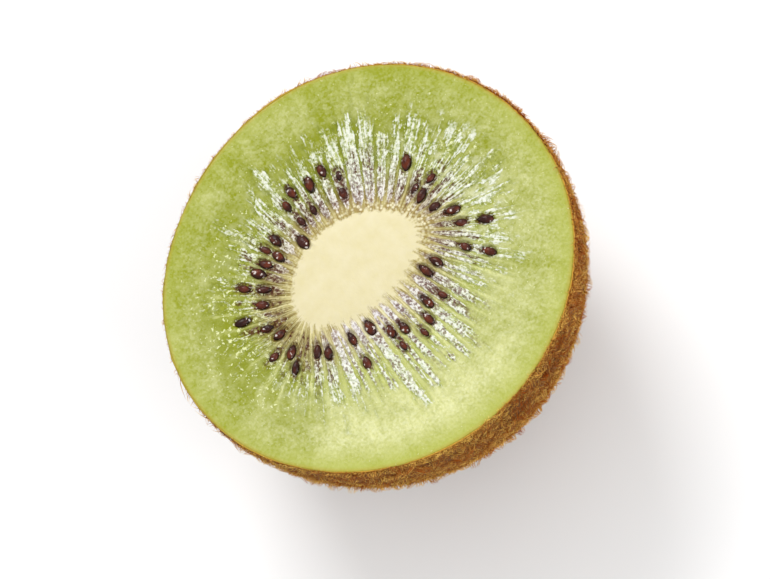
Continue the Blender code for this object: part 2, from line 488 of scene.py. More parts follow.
notes = {
    "core": over_face(core_field, 1.0),
    "wall_gap": over_face(np.clip(wall_gap, 0, 3), 3.0),
    "wall": over_face(wall_field),
    "chamber": over_face(chamber_reach),
    "groove": over_face(groove_reach),
    "lumps": over_face(lumps, 0.5, 0.5),
    # where the painted sheen and glints lie
    "wet": over_face(wet_glint_field),
    "wet_side": over_face(wet_side, wet_side[0], 0.0),
    "ring_zone": over_face(ring_zone, 1.0),
    "deep_green": over_face(green_and_shade_field),
    "stain": over_face(stain_field),
    "specks": over_face(glint_speck_field),
    "beads": over_face(glint_bead_field),
    "verge": over_face(verge_field),
    "loose": over_face(loose_field),
    "dots": over_face(dot_field),
    "out": over_face(share, 0.0, 1.0),
    "rust": over_face(rust_field),
    "pale_side": over_face(pale_side, pale_side[0]),
    "milky": over_face(milky_side, milky_side[0]),
}
turn_round = 2 * math.pi * column / FLESH_COLUMNS
ray_space = np.stack((np.cos(turn_round), np.sin(turn_round), notes["out"]), axis=-1)
for name, values in notes.items():
    note(flesh, name, values)
note(flesh, "ray_space", ray_space)
fold(flesh, flesh_rows[ring, column])


def colour(red, green, blue):
    """A screen colour, 0 to 255, as the linear colour that a shader takes."""
    parts = np.array((red, green, blue)) / 255
    linear = np.where(parts <= 0.04045, parts / 12.92, ((parts + 0.055) / 1.055) ** 2.4)
    return (*linear.tolist(), 1.0)


def feed(tree, made, inputs):
    """Links each input of a node to another node's output, or sets it to a value."""
    for socket, value in dict(inputs).items():
        if isinstance(value, bpy.types.NodeSocket):
            tree.links.new(value, made.inputs[socket])
        else:
            made.inputs[socket].default_value = value


def node(tree, kind, inputs=(), **settings):
    """A new shader node with its settings and its inputs."""
    made = tree.nodes.new("ShaderNode" + kind)
    for name, value in settings.items():
        setattr(made, name, value)
    feed(tree, made, inputs)
    return made


def noted(tree, name):
    return node(tree, "Attribute", attribute_name=name).outputs["Fac"]


def mixed(tree, factor, first, second):
    """first where factor is 0, second where it is 1."""
    made = node(tree, "Mix", {0: factor, 6: first, 7: second}, data_type="RGBA")
    return made.outputs[2]


def spread(tree, value, low, high, out_low=0.0, out_high=1.0):
    """value stretched from low..high to out_low..out_high, and held between them."""
    inputs = {0: value, 1: low, 2: high, 3: out_low, 4: out_high}
    return node(tree, "MapRange", inputs).outputs[0]


def times(tree, first, second):
    return node(tree, "Math", {0: first, 1: second}, operation="MULTIPLY").outputs[0]


def plus(tree, first, second):
    return node(tree, "Math", {0: first, 1: second}, operation="ADD").outputs[0]


def minus(tree, first, second):
    return node(tree, "Math", {0: first, 1: second}, operation="SUBTRACT").outputs[0]


def swayed(tree, value, field, reach):
    """value moved by up to reach either way, as a field goes from 0 to 1."""
    return plus(tree, value, spread(tree, field, 0.0, 1.0, -reach, reach))


def stretched(tree, vector, factors):
    inputs = {0: vector, 1: factors}
    return node(tree, "VectorMath", inputs, operation="MULTIPLY").outputs[0]


def bumped(tree, height, distance, strength=1.0):
    """The surface's direction, tilted to follow a height."""
    inputs = {"Height": height, "Distance": distance, "Strength": strength}
    return node(tree, "Bump", inputs).outputs[0]


def new_material(name):
    material = bpy.data.materials.new(name)
    material.use_nodes = True
    tree = material.node_tree
    return material, tree, tree.nodes["Principled BSDF"]


def new_effect(name, inputs):
    """An empty node group that several materials share, with its inputs and its one output."""
    effect = bpy.data.node_groups.new(name, "ShaderNodeTree")
    for socket in inputs:
        kind = "NodeSocketVector" if socket == "Vector" else "NodeSocketFloat"
        effect.interface.new_socket(socket, in_out="INPUT", socket_type=kind)
    effect.interface.new_socket("Value", in_out="OUTPUT", socket_type="NodeSocketFloat")
    given = effect.nodes.new("NodeGroupInput").outputs
    made = effect.nodes.new("NodeGroupOutput").inputs["Value"]
    return effect, given, made


MOTTLE_INPUTS = ("Vector", "Scale", "Detail", "Roughness", "Low", "High")
SPECKS_INPUTS = ("Vector", "Scale", "Density", "Size")


def mottle_effect():
    """Soft random patches between 0 and 1, with their low and high ends held flat."""
    effect, given, made = new_effect("mottle", MOTTLE_INPUTS)
    inputs = {name: given[name] for name in MOTTLE_INPUTS[:4]}
    patches = node(effect, "TexNoise", inputs).outputs["Fac"]
    effect.links.new(spread(effect, patches, given["Low"], given["High"]), made)
    return effect


def specks_effect():
    """Small uneven specks, in as many of the cells as the density says."""
    effect, given, made = new_effect("specks", SPECKS_INPUTS)
    place, scale, size = given["Vector"], given["Scale"], given["Size"]
    cells = node(effect, "TexVoronoi", {"Vector": place, "Scale": scale})
    chances = node(effect, "SeparateXYZ", {0: cells.outputs["Color"]})
    shown = spread(effect, minus(effect, given["Density"], chances.outputs[0]), 0.0, 0.12)
    reach = times(effect, size, spread(effect, chances.outputs[1], 0.0, 1.0, 0.45, 1.0))
    wobble = mottle(effect, place, times(effect, scale, 2.2), 2.0, 0.5, 0.3, 0.7)
    reach = times(effect, reach, spread(effect, wobble, 0.0, 1.0, 0.3, 1.7))
    gap = minus(effect, reach, cells.outputs["Distance"])
    effect.links.new(times(effect, shown, spread(effect, gap, 0.0, 0.1)), made)
    return effect


def mottle(tree, vector, scale, detail=2.0, roughness=0.5, low=0.3, high=0.7):
    inputs = zip(MOTTLE_INPUTS, (vector, scale, detail, roughness, low, high))
    return node(tree, "Group", inputs, node_tree=MOTTLE).outputs["Value"]


def specks(tree, vector, scale, density, size):
    inputs = zip(SPECKS_INPUTS, (vector, scale, density, size))
    return node(tree, "Group", inputs, node_tree=SPECKS).outputs["Value"]


MOTTLE = mottle_effect()
SPECKS = specks_effect()


def cut_fields(tree):
    """What the flesh's material reads: the notes, even patterns and patterns along the rays."""
    cut = SimpleNamespace(**{name: noted(tree, name) for name in notes})
    cut.place = node(tree, "TexCoord").outputs["Object"]
    ray_place = node(tree, "Attribute", attribute_name="ray_space").outputs["Vector"]

    def ray_mottle(round_cells, out_cells, *softness):
        factors = (round_cells, round_cells, out_cells)
        return mottle(tree, stretched(tree, ray_place, factors), 1.0, *softness)

    cut.grain = mottle(tree, cut.place, 3300.0, 2.0, 0.6)
    cut.curls = mottle(tree, cut.place, 1300.0, 2.0, 0.55)
    cut.cells = mottle(tree, cut.place, 600.0, 2.0, 0.6)
    cut.clouds = mottle(tree, cut.place, 220.0)
    tissue = node(
        tree,
        "TexVoronoi",
        {"Vector": cut.place, "Scale": 3600.0, "Smoothness": 0.5},
        feature="SMOOTH_F1",
    )
    cut.granule, pip, _ = node(tree, "SeparateXYZ", {0: tissue.outputs["Color"]}).outputs
    speckle = plus(tree, times(tree, pip, 0.5), times(tree, cut.grain, 0.5))
    cut.speckle = spread(tree, speckle, 0.3, 0.7)
    # Painted glinting specks, more of them where the specks note is high.
    level = spread(tree, cut.specks, 0.0, 1.0, 0.7, 0.56)
    cut.frost = mottle(tree, cut.place, 2300.0, 2.0, 0.6, level, plus(tree, level, 0.06))

    cut.fibres = ray_mottle(50.0, 9.0, 2.0, 0.6)
    cut.glints = ray_mottle(64.0, 52.0, 3.0, 0.72)
    cut.fine = ray_mottle(78.0, 46.0, 1.0, 0.5, 0.34, 0.66)
    cut.threads = ray_mottle(60.0, 5.0, 1.0, 0.5, 0.38, 0.62)
    cut.wisps = ray_mottle(30.0, 15.0, 3.0, 0.6, 0.32, 0.68)
    cut.soft_rays = ray_mottle(13.0, 2.0, 2.0, 0.5)

    fray = spread(tree, cut.out, 0.3, 0.65, 0.4, 1.1)
    tangle = spread(tree, cut.loose, 0.0, 1.0, 0.2, 2.2)
    gap = swayed(tree, cut.wall_gap, cut.grain, 0.28)
    gap = plus(tree, gap, times(tree, minus(tree, cut.fibres, 0.5), fray))
    cut.gap = plus(tree, gap, times(tree, minus(tree, cut.wisps, 0.5), tangle))
    cut.inside = times(tree, spread(tree, cut.gap, 0.8, 1.15), cut.chamber)
    return cut


def outer_flesh(tree, cut):
    """Green flesh, paler on one side with painted light, finely grained, and greener again towards
    the skin.
    """
    paleness = spread(tree, cut.pale_side, 0.0, 1.0, 0.17, 0.75)
    for field, reach in (
        (cut.clouds, 0.14), (cut.cells, 0.1), (cut.curls, 0.07), (cut.soft_rays, 0.1),
    ):
        paleness = swayed(tree, paleness, field, reach)
    grain_reach = spread(tree, cut.pale_side, 0.0, 1.0, 0.22, 0.34)
    paleness = plus(tree, paleness, times(tree, minus(tree, cut.grain, 0.5), grain_reach))
    base = mixed(tree, paleness, colour(130, 138, 6), colour(205, 206, 147))
    flecks = spread(tree, cut.granule, 0.25, 1.0, 0.0, 0.34)
    flecks = times(tree, flecks, spread(tree, cut.pale_side, 0.0, 1.0, 0.6, 1.0))
    flecks = times(tree, flecks, spread(tree, cut.out, 0.9, 0.98, 1.0, 0.6))
    base = mixed(tree, flecks, base, colour(224, 225, 184))
    rim_green = spread(tree, cut.pale_side, 0.0, 1.0, 0.3, 0.72)
    rim_green = times(tree, spread(tree, cut.out, 0.8, 0.98), rim_green)
    base = mixed(tree, rim_green, base, colour(158, 165, 48))
    edge = spread(tree, cut.out, 0.98, 1.0, 0.0, 0.5)
    return mixed(tree, edge, base, colour(170, 150, 50))


def ray_strands(tree, cut, base):
    """Deep green between the chambers, on some sides darker by painted shade, and pale and olive
    strands nearer the core.
    """
    base = mixed(tree, cut.deep_green, base, colour(124, 132, 0))
    pale = mixed(tree, cut.milky, colour(190, 176, 112), colour(224, 218, 190))
    pale = mixed(tree, cut.wet_side, colour(206, 195, 138), pale)
    dark = mixed(tree, cut.milky, colour(126, 102, 42), colour(176, 160, 112))
    dark = mixed(tree, cut.wet_side, colour(92, 70, 18), dark)
    dark = mixed(tree, spread(tree, cut.out, 0.0, 0.1), colour(138, 118, 58), dark)
    strands = times(tree, cut.threads, spread(tree, cut.fine, 0.0, 1.0, 0.6, 1.0))
    strands = mixed(tree, strands, dark, pale)
    return mixed(tree, times(tree, cut.ring_zone, 0.9), base, strands)


def grooves_and_walls(tree, cut, base):
    """Dark grooves at the chambers' edges, their darkness partly painted shade, and pale walls,
    which the grain breaks up.
    """
    inner = mixed(tree, cut.fibres, colour(60, 38, 4), colour(130, 108, 46))
    milky_inner = mixed(tree, cut.fibres, colour(118, 96, 46), colour(188, 174, 120))
    inner = mixed(tree, cut.milky, inner, milky_inner)
    outer = mixed(tree, cut.fibres, colour(72, 84, 0), colour(134, 142, 34))
    pale_outer = mixed(tree, cut.fibres, colour(132, 142, 40), colour(188, 193, 108))
    outer = mixed(tree, cut.pale_side, outer, pale_outer)
    groove = times(tree, spread(tree, cut.gap, 0.82, 1.02, 0.92, 0.0), cut.groove)
    groove = times(tree, groove, spread(tree, cut.cells, 0.1, 0.8, 1.0, 0.6))
    base = mixed(tree, groove, base, mixed(tree, cut.ring_zone, outer, inner))
    wall = times(tree, spread(tree, cut.gap, 0.1, 0.45, 1.0, 0.0), cut.wall)
    wall = times(tree, wall, spread(tree, cut.grain, 0.1, 0.6, 0.35, 1.0))
    wall_colour = mixed(tree, cut.ring_zone, colour(204, 206, 142), colour(222, 214, 162))
    return mixed(tree, wall, base, wall_colour)


def torn_ends(tree, cut, base):
    """Soft pale clouds round the torn ends of the chambers."""
    torn = spread(tree, cut.loose, 0.3, 1.0)
    mist = times(tree, torn, spread(tree, cut.out, 0.5, 0.72, 1.0, 0.0))
    clouds = spread(tree, plus(tree, cut.curls, cut.cells), 0.8, 1.5, 0.0, 0.5)
    return mixed(tree, times(tree, mist, clouds), base, colour(218, 218, 190))


def chamber_jelly(tree, cut, base):
    """Olive, lavender and purple-brown grains near the core, clearer and greener farther out."""
    dry = mixed(tree, cut.speckle, colour(76, 46, 14), colour(146, 127, 62))
    moist_dark = mixed(tree, cut.milky, colour(102, 68, 48), colour(150, 128, 112))
    moist = mixed(tree, cut.speckle, moist_dark, colour(194, 184, 178))
    near_core = mixed(tree, cut.wet_side, dry, moist)
    clear = mixed(tree, cut.speckle, colour(98, 106, 0), colour(142, 148, 34))
    misty = mixed(tree, cut.speckle, colour(116, 128, 36), colour(176, 184, 116))
    far = mixed(tree, spread(tree, cut.wet, 0.1, 0.7), clear, misty)
    jelly = spread(tree, plus(tree, cut.wet, cut.stain), 0.0, 0.7, 0.35, 0.95)
    jelly = times(tree, cut.inside, jelly)
    started = plus(tree, cut.out, times(tree, cut.milky, 0.08))
    jelly = times(tree, jelly, spread(tree, started, 0.0, 0.12, 0.45, 1.0))
    base = mixed(tree, jelly, base, mixed(tree, cut.ring_zone, far, near_core))
    stained = times(tree, cut.stain, spread(tree, cut.speckle, 0.1, 0.9, 1.0, 0.3))
    stained = times(tree, stained, spread(tree, cut.gap, 1.0, 1.6, 0.4, 1.0))
    return mixed(tree, stained, base, colour(78, 38, 20))


def core_beads(tree, cut, base):
    """Small khaki beads round the core."""
    beads = node(tree, "TexVoronoi", {"Vector": cut.place, "Scale": 2600.0})
    beads = spread(tree, beads.outputs["Distance"], 0.2, 0.6)
    beads = mixed(tree, beads, colour(234, 228, 196), colour(136, 112, 54))
    shown = times(tree, cut.verge, spread(tree, cut.cells, 0.0, 1.0, 0.45, 0.95))
    return mixed(tree, shown, base, beads)


def painted_wet_sheen(tree, cut, base):
    """Painted highlight: a whitish sheen of light on the wet chambers, with fine dots in it, and
    lavender where they are deep. Also the sheen's cover.
    """
    pepper = node(tree, "TexVoronoi", {"Vector": cut.place, "Scale": 2300.0})
    pepper = swayed(tree, pepper.outputs["Distance"], cut.grain, 0.2)
    pepper = swayed(tree, pepper, cut.curls, -0.12)
    pepper = times(tree, spread(tree, pepper, 0.34, 0.56, 1.0, 0.0), cut.dots)
    painted_sheen = times(tree, cut.wet, spread(tree, cut.pale_side, 0.0, 1.0, 1.1, 1.4))
    for field, reach in (
        (cut.fine, 0.34), (cut.threads, 0.26), (cut.wisps, 0.22), (cut.glints, 0.15),
        (cut.speckle, 0.15), (cut.lumps, 0.1),
    ):
        painted_sheen = swayed(tree, painted_sheen, field, reach)
    strung = times(tree, minus(tree, cut.threads, 0.5), cut.loose)
    painted_sheen = plus(tree, painted_sheen, times(tree, strung, 0.7))
    seam = times(tree, spread(tree, cut.gap, 1.3, 2.2), cut.ring_zone)
    painted_sheen = minus(tree, painted_sheen, times(tree, seam, 0.15))
    painted_sheen = times(tree, spread(tree, painted_sheen, 0.34, 1.06, 0.0, 0.92), cut.inside)
    painted_sheen = times(tree, painted_sheen, spread(tree, pepper, 0.0, 1.0, 1.0, 0.35))
    sheen = spread(tree, cut.speckle, 0.1, 0.6)
    deep_glare = mixed(tree, sheen, colour(180, 170, 170), colour(220, 217, 214))
    deep_glare = mixed(tree, cut.wet_side, colour(210, 202, 160), deep_glare)
    glare = mixed(tree, sheen, colour(194, 200, 172), colour(220, 222, 212))
    base = mixed(tree, painted_sheen, base, mixed(tree, cut.ring_zone, glare, deep_glare))
    dots = times(tree, spread(tree, pepper, 0.2, 1.0, 0.0, 0.75), cut.inside)
    return mixed(tree, dots, base, colour(104, 72, 68)), painted_sheen


def sparks_and_frost(tree, cut, base):
    """Painted highlights: small hard glints in the ring, and glinting white specks farther out.
    Also the glints' cover.
    """
    painted_glints = plus(tree, times(tree, cut.lumps, 0.25), times(tree, cut.glints, 0.5))
    painted_glints = plus(tree, painted_glints, times(tree, cut.beads, 0.3))
    painted_glints = plus(tree, painted_glints, times(tree, cut.wet, 0.08))
    painted_glints = spread(tree, painted_glints, 0.73, 0.98, 0.0, 0.88)
    base = mixed(tree, painted_glints, base, colour(228, 230, 208))
    base = mixed(tree, times(tree, cut.frost, 0.8), base, colour(222, 226, 174))
    return base, painted_glints


def rust_flecks(tree, cut, base):
    """A few small rust-coloured flecks of seed coat."""
    rust = times(tree, specks(tree, cut.place, 520.0, 0.35, 0.13), cut.rust)
    return mixed(tree, times(tree, rust, 0.85), base, colour(158, 66, 14))


def flesh_material():
    material, tree, shader = new_material("kiwi_flesh")
    cut = cut_fields(tree)
    base = outer_flesh(tree, cut)
    for layer in (ray_strands, grooves_and_walls, torn_ends, chamber_jelly, core_beads):
        base = layer(tree, cut, base)
    # Painted highlights: the wet chambers' sheen of light, then the small glints.
    base, painted_sheen = painted_wet_sheen(tree, cut, base)
    base, painted_glints = sparks_and_frost(tree, cut, base)
    base = rust_flecks(tree, cut, base)
    heart = mixed(tree, cut.cells, colour(206, 196, 154), colour(211, 202, 166))
    core = spread(tree, swayed(tree, cut.core, cut.grain, 0.2), 0.25, 0.75)
    base = mixed(tree, core, base, heart)

    # Where the painted highlights lie, the surface is also smoother and its bumps higher.
    white = plus(tree, times(tree, painted_sheen, 0.5), painted_glints)
    height = plus(tree, times(tree, cut.grain, 0.3), times(tree, cut.granule, 0.35))
    height = plus(tree, height, times(tree, white, 0.5))
    height = plus(tree, height, times(tree, cut.frost, 0.8))
    height = times(tree, height, spread(tree, core, 0.0, 1.0, 1.0, 0.2))
    coat = spread(tree, cut.inside, 0.0, 1.0, 0.05, 0.2)
    looks = {
        "Base Color": base,
        "Roughness": spread(tree, white, 0.0, 1.0, 0.45, 0.2),
        "Normal": bumped(tree, height, 0.1 * MM, 0.6),
        "Coat Weight": times(tree, coat, spread(tree, core, 0.0, 1.0, 1.0, 0.3)),
        "Coat Roughness": 0.12,
        "Specular IOR Level": 0.13,
        "Subsurface Weight": 0.12,
        "Subsurface Radius": (1.0, 0.9, 0.35),
        "Subsurface Scale": 0.6 * MM,
    }
    feed(tree, shader, looks)
    return material


flesh.data.materials.append(flesh_material())
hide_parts("kiwi_half")
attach(flesh, "root")

# ---------------------------------------------------------------------------------------------
# The seeds. Hard, glossy, purple-brown drops with their points towards the core, half sunk in
# the jelly of their chambers. One seed is shaped, and copied into each place.
# ---------------------------------------------------------------------------------------------


def seed_shape():
    """One seed lying along X, its point towards -X, narrowing towards its point."""
    bpy.ops.object.select_all(action="DESELECT")
    bpy.ops.mesh.primitive_uv_sphere_add(segments=20, ring_count=14, radius=0.5)
    seed = bpy.context.object
    bpy.ops.object.mode_set(mode="EDIT")
    bpy.ops.mesh.select_all(action="SELECT")
    bpy.ops.transform.rotate(value=math.pi / 2, orient_axis="Y", center_override=(0, 0, 0))
    bpy.ops.object.mode_set(mode="OBJECT")
    for vert in seed.data.vertices:
        x, y, z = vert.co
        taper = 1 - 0.38 * max(0.0, -2 * x) ** 1.6
        vert.co = (x * SEED_LENGTH, y * SEED_WIDTH * taper, z * SEED_THICKNESS * taper)
    crown = [swell(0.1, 0.85, 2 * vert.co.z / SEED_THICKNESS) for vert in seed.data.vertices]
    seed.data.attributes.new("crown", "FLOAT", "POINT").data.foreach_set("value", crown)
    return seed


seed_rng = np.random.default_rng(5)
first_seed = seed_shape()
seeds = []
for number, (row, column_at) in enumerate(bright_seats + dull_seats):
    dull = number >= len(bright_seats)
    size = seed_rng.uniform(0.74, 1.04) * (0.88 if dull else 1.0)
    line = flat_face[row + 3, column_at] - flat_face[row - 3, column_at]
    turn = math.atan2(line[1], line[0]) + seed_rng.uniform(-0.16, 0.16)
    tilt = seed_rng.uniform(-0.12, 0.2)
    x, y = flat_face[row, column_at] + FRUIT_AXIS
    top = CUT_HEIGHT - sunk[row, 0]
    z = top - seed_rng.uniform(*((0.26, 0.36) if dull else (0.12, 0.28))) * MM
    seed = first_seed.copy()
    seed.data = first_seed.data.copy()
    bpy.context.scene.collection.objects.link(seed)
    seed.scale = (size, size * seed_rng.uniform(0.76, 1.02), size)
    seed.rotation_euler = (seed_rng.uniform(-0.2, 0.2), tilt, turn)
    seed.location = (x, y, z)
    tone = seed.data.attributes.new("tone", "FLOAT", "POINT")
    value = seed_rng.uniform(0.0, 0.7) + (0.3 if dull else 0.0)
    tone.data.foreach_set("value", [value] * len(seed.data.vertices))
    seeds.append(seed)
bpy.data.objects.remove(first_seed)
bpy.ops.object.select_all(action="DESELECT")
for seed in seeds:
    seed.select_set(True)
bpy.context.view_layer.objects.active = seeds[0]
bpy.ops.object.join()
seed_piece = bpy.context.object
seed_piece.name = seed_piece.data.name = "seeds"
bpy.ops.object.transform_apply(location=True, rotation=True, scale=True)
bpy.ops.object.shade_smooth()


def seed_material():
    material, tree, shader = new_material("kiwi_seed")
    place = node(tree, "TexCoord").outputs["Object"]
    blush = mottle(tree, place, 800.0, 2.0, 0.6, 0.42, 0.68)
    pits = mottle(tree, place, 2200.0, 2.0, 0.6)
    # Painted highlights: small white glints of light on the wet seeds.
    seed_glint_share = spread(tree, noted(tree, "tone"), 0.0, 1.0, 0.45, 0.85)
    seed_glints = specks(tree, place, 2000.0, seed_glint_share, 0.36)
    base = mixed(tree, noted(tree, "tone"), colour(36, 9, 6), colour(70, 32, 24))
    base = mixed(tree, times(tree, blush, 0.55), base, colour(122, 50, 16))
    base = mixed(tree, noted(tree, "crown"), colour(22, 6, 5), base)
    base = mixed(tree, times(tree, seed_glints, 0.75), base, colour(226, 218, 212))
    looks = {
        "Base Color": base,
        "Normal": bumped(tree, pits, 0.12 * MM, 0.8),
        "Roughness": 0.3,
        "Specular IOR Level": 0.12,
        "Coat Weight": 0.2,
        "Coat Roughness": 0.04,
    }
    feed(tree, shader, looks)
    return material


seed_piece.data.materials.append(seed_material())
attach(seed_piece, "root")

# ---------------------------------------------------------------------------------------------
# The skin. A thin, dry, leathery brown peel grown onto the flesh, cut through at the rim, where
# its edge shows as an orange-brown line. A tube folded over into an inner and an outer wall.
# ---------------------------------------------------------------------------------------------
SKIN_COLUMNS = 288
SKIN_RINGS = 46
RAGGEDNESS = 0.14 * MM  # how much the cut edge rises and falls
LIP_HEIGHT = 0.06 * MM  # how far the cut edge bulges up
SCAR_SEAT = 0.45 * MM  # how high above the ground the peel passes over the scar
GREEN_RIM_SIDES = ((135, 62, 1.0),)  # where the peel's cut edge is yellow-green

skin_turns = np.arange(SKIN_COLUMNS) / SKIN_COLUMNS * 2 * math.pi
skin_around = np.arange(SKIN_COLUMNS)[None, :] / SKIN_COLUMNS
narrowing, height = body_profile(CUT_HEIGHT - 0.1 * MM, 0.0, SKIN_RINGS)
depth_share = np.linspace(0, 1, SKIN_RINGS)[:, None]
dents = (
    0.16 * MM * (dapple(skin_around * 24, depth_share * 7, 24, 61) - 0.5)
    + 0.10 * MM * (dapple(skin_around * 90, depth_share * 26, 90, 62) - 0.5)
)
ragged = RAGGEDNESS * (dapple(skin_around * 140, 0.0, 140, 63)[0] - 0.6)


def skin_wall(inset, rough):
    """Rows of one wall of the peel, from the rim down to the scar's collar."""
    rows = []
    for step in range(SKIN_RINGS):
        flat = rim_edge(skin_turns, inset) * narrowing[step]
        flat = flat + (rough * dents[step] - 0.05 * MM)[:, None] * heading(skin_turns)
        level = height[step] + inset * depth_share[step, 0]
        top = ragged * fade(0, 0.06, depth_share[step, 0])
        rows.append(rows_at(level + top[None, :], flat[None])[0])
    return rows


outer_wall = skin_wall(0.0, 1.0)
inner_wall = skin_wall(SKIN_THICKNESS, 0.6)
seat_ring = 0.86 * COLLAR_RADIUS * heading(skin_turns)
outer_end = [
    rows_at(SCAR_SEAT, seat_ring[None])[0],
    rows_at(SCAR_SEAT, 0.0 * seat_ring[None])[0],
]
inner_end = [rows_at(height[-1] + SKIN_THICKNESS, 0.0 * seat_ring[None])[0]]
lip = [0.5 * (outer_wall[0] + inner_wall[0]) + np.array((0, 0, LIP_HEIGHT))]
skin_rows = np.array(outer_end[::-1] + outer_wall[::-1] + lip + inner_wall + inner_end)
skin, column, ring = tube("skin", SKIN_COLUMNS, len(skin_rows))
lip_ring = len(outer_end) + len(outer_wall)
note(skin, "cut", np.clip(1 - (lip_ring - ring) * 0.5, 0, 1))
note(skin, "green_rim", towards(skin_turns, GREEN_RIM_SIDES)[0][column])
fold(skin, skin_rows[ring, column])


def skin_material():
    material, tree, shader = new_material("kiwi_skin")
    place = node(tree, "TexCoord").outputs["Object"]
    blotch = mottle(tree, place, 160.0, 3.0, 0.6)
    pores = mottle(tree, place, 700.0, 3.0, 0.65, 0.35, 0.7)
    base = mixed(tree, blotch, colour(102, 62, 18), colour(144, 92, 30))
    base = mixed(tree, spread(tree, pores, 0.3, 1.0, 0.0, 0.6), base, colour(62, 32, 6))
    cut = mixed(tree, noted(tree, "green_rim"), colour(196, 150, 58), colour(164, 152, 52))
    base = mixed(tree, noted(tree, "cut"), base, cut)
    looks = {
        "Base Color": base,
        "Normal": bumped(tree, pores, 0.15 * MM, 0.8),
        "Roughness": 0.75,
        "Specular IOR Level": 0.15,
    }
    feed(tree, shader, looks)
    return material


skin.data.materials.append(skin_material())
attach(skin, "root")

# ---------------------------------------------------------------------------------------------
# The fuzz. Short stiff golden-brown hairs all over the skin, leaning and tangled in small tufts:
# a low down, and longer bristles through it. Each hair is a three-sided tapering prism.
# ---------------------------------------------------------------------------------------------
BARE_SIDES = ((160, 50, 1.0), (95, 30, 0.4))  # where few hairs stand near the rim
# On the shaggy sides the hairs near the rim are also darkened: painted shade.
SHAGGY_SHADED_SIDES = ((8, 24, 1.0), (318, 26, 0.6))  # where the hairs near the rim are long and dark
LOWEST_HAIR = 0.06 * MM  # keeps all hairs off the ground
TONE_PATCH = 1.3 * MM  # the size of lighter and darker patches of hair


def skin_places(count, rng, low):
    """Random roots over the outer skin above a height, with the skin's direction there."""
    mesh = skin.data
    mesh.calc_loop_triangles()
    corners = read_out(mesh.loop_triangles, "vertices", 3, np.int32)
    points = read_out(mesh.vertices, "co", 3)
    normals = read_out(mesh.vertices, "normal", 3)
    a, b, c = (points[corners[:, i]] for i in range(3))
    face = np.cross(b - a, c - a)
    area = np.linalg.norm(face, axis=1)
    middle = (a + b + c) / 3
    from_heart = middle - np.array((0, 0, 0.8 * CUT_HEIGHT))
    outside = (face * from_heart).sum(1) > 0
    level = (middle[:, 2] > low) & (middle[:, 2] < CUT_HEIGHT)
    turn = np.arctan2(middle[:, 1], middle[:, 0])
    near_rim = swell(CUT_HEIGHT - 7 * MM, CUT_HEIGHT - 3 * MM, middle[:, 2])
    bare = towards(turn, BARE_SIDES)[0] * near_rim
    weight = area * outside * level * (1 - 0.88 * bare)
    chosen = rng.choice(len(corners), count, p=weight / weight.sum())
    u, v = rng.random((2, count, 1))
    over = (u + v) > 1
    u, v = np.where(over, 1 - u, u), np.where(over, 1 - v, v)
    root = a[chosen] + u * (b - a)[chosen] + v * (c - a)[chosen]
    out = normals[corners[chosen]].mean(1)
    return root, out / np.linalg.norm(out, axis=1, keepdims=True)


def unit(vectors):
    return vectors / np.linalg.norm(vectors, axis=-1, keepdims=True)


def nearest_tuft(root, middles):
    """The number of the tuft that each hair belongs to, found for a block of hairs at a time."""
    block = 2000
    return np.concatenate(
        [
            ((root[first:first + block, None] - middles[None]) ** 2).sum(-1).argmin(1)
            for first in range(0, len(root), block)
        ]
    )


def hair_paths(kind, rng, root, out, side, tuft, shaggy_shaded):
    """The curved middle line of each hair, from its root to its tip."""
    down = np.cross(out, side)
    swirl = (
        3.0 * np.sin(root[:, 0] / (5.1 * MM) + 1.3)
        + 2.4 * np.sin(root[:, 1] / (4.3 * MM) - 0.7)
        + 2.0 * np.sin(root[:, 2] / (3.7 * MM) + 0.4)
    )
    spin = swirl + rng.normal(0, 1.6, kind.count)
    flat = np.cos(spin)[:, None] * side + np.sin(spin)[:, None] * down
    bend = rng.uniform(*kind.lean, kind.count)[:, None]
    length = rng.uniform(*kind.lengths, kind.tufts)[tuft] * rng.uniform(0.7, 1.0, kind.count)
    length = (length * (1 + 0.45 * shaggy_shaded))[:, None]
    curl = rng.normal(0, 0.45, (kind.count, 1)) * np.cross(out, flat)
    steps = np.linspace(0, 1, kind.joints + 1)[None, :, None]
    start = unit(out * np.cos(bend) + flat * np.sin(bend) + np.array((0, 0, kind.rise)))
    path = root[:, None] + length[:, None] * (
        steps * start[:, None]
        + steps**2 * (0.35 * flat + curl - 0.18 * out)[:, None]
    )

    # Hairs of a tuft lean in towards each other's tips.
    tip_sum = np.zeros((kind.tufts, 3))
    np.add.at(tip_sum, tuft, path[:, -1])
    tip = tip_sum / np.maximum(np.bincount(tuft, minlength=kind.tufts), 1)[:, None]
    path = path + (tip[tuft] - path[:, -1])[:, None] * steps**1.5 * kind.gather
    path[..., 2] = np.maximum(path[..., 2], LOWEST_HAIR)
    return path


